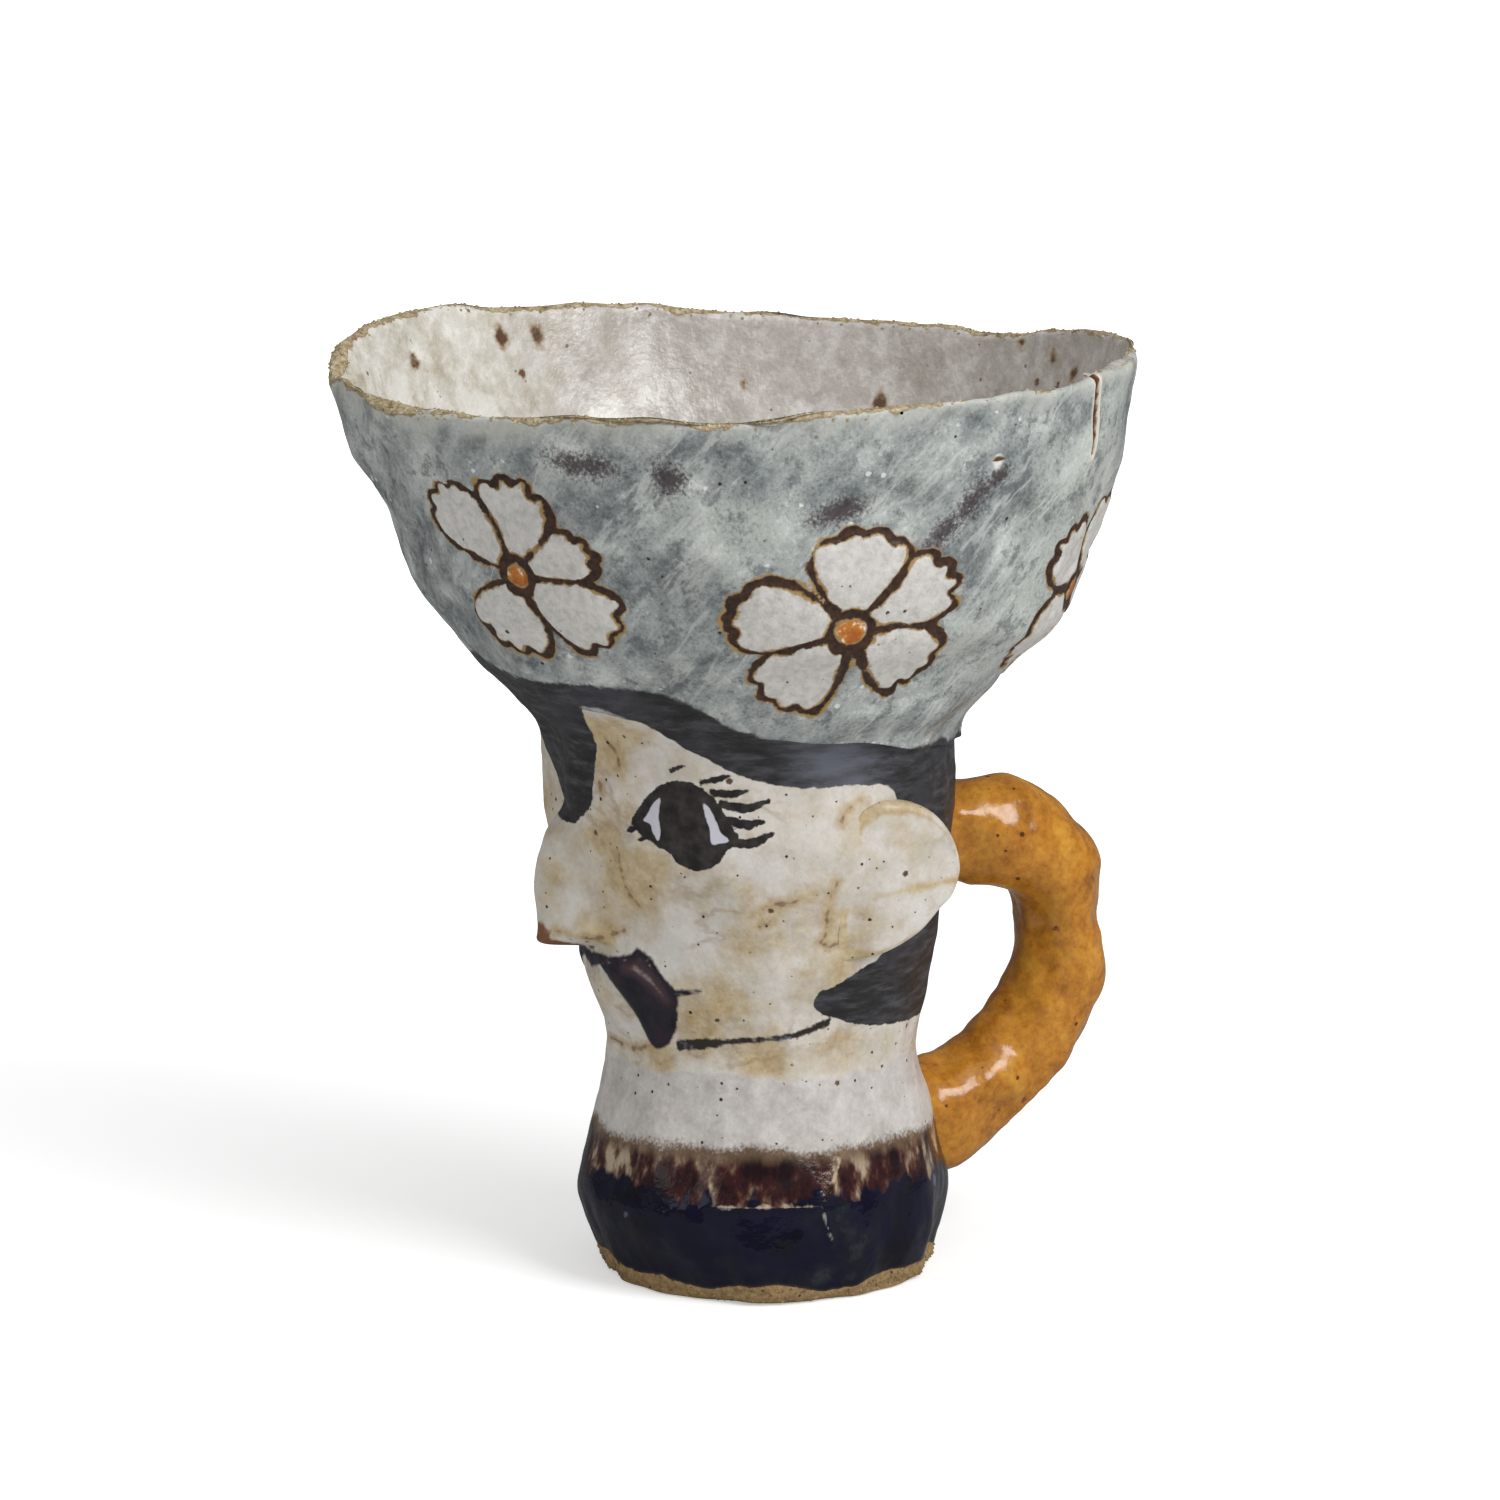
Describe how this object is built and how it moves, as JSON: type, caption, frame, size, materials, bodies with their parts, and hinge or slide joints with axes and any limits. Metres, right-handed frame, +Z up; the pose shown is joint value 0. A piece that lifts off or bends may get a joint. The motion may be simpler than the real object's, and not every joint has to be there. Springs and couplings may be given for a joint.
{
  "type": "head cup",
  "caption": "Hand-built stoneware cup shaped as a head: foot, waisted neck, face with nose and ears, wide open hat as the bowl, and a loop handle behind.",
  "frame": {"origin": "middle of the flat underside of the foot, on the axis of the vessel", "axes": "+Z up out of the mouth, -Y the way the face looks, +Y towards the handle, +X the head's left"},
  "size_m": [0.1183, 0.1197, 0.1421],
  "materials": {
    "raw_stoneware": "bare fired clay, matt and gritty",
    "cobalt_glaze": "glossy dark blue glaze",
    "cream_glaze": "satin cream glaze with ochre washes",
    "grey_green_glaze": "satin mottled grey-green glaze",
    "amber_glaze": "glossy amber glaze"
  },
  "bodies": {
    "root": {"floor_slab": "raw_stoneware", "foot_ring": "cobalt_glaze", "head_wall": "cream_glaze", "hat_bowl": "grey_green_glaze", "nose": "cream_glaze", "ear_left": "cream_glaze", "ear_right": "cream_glaze", "handle": "amber_glaze"}
  },
  "joints": []
}
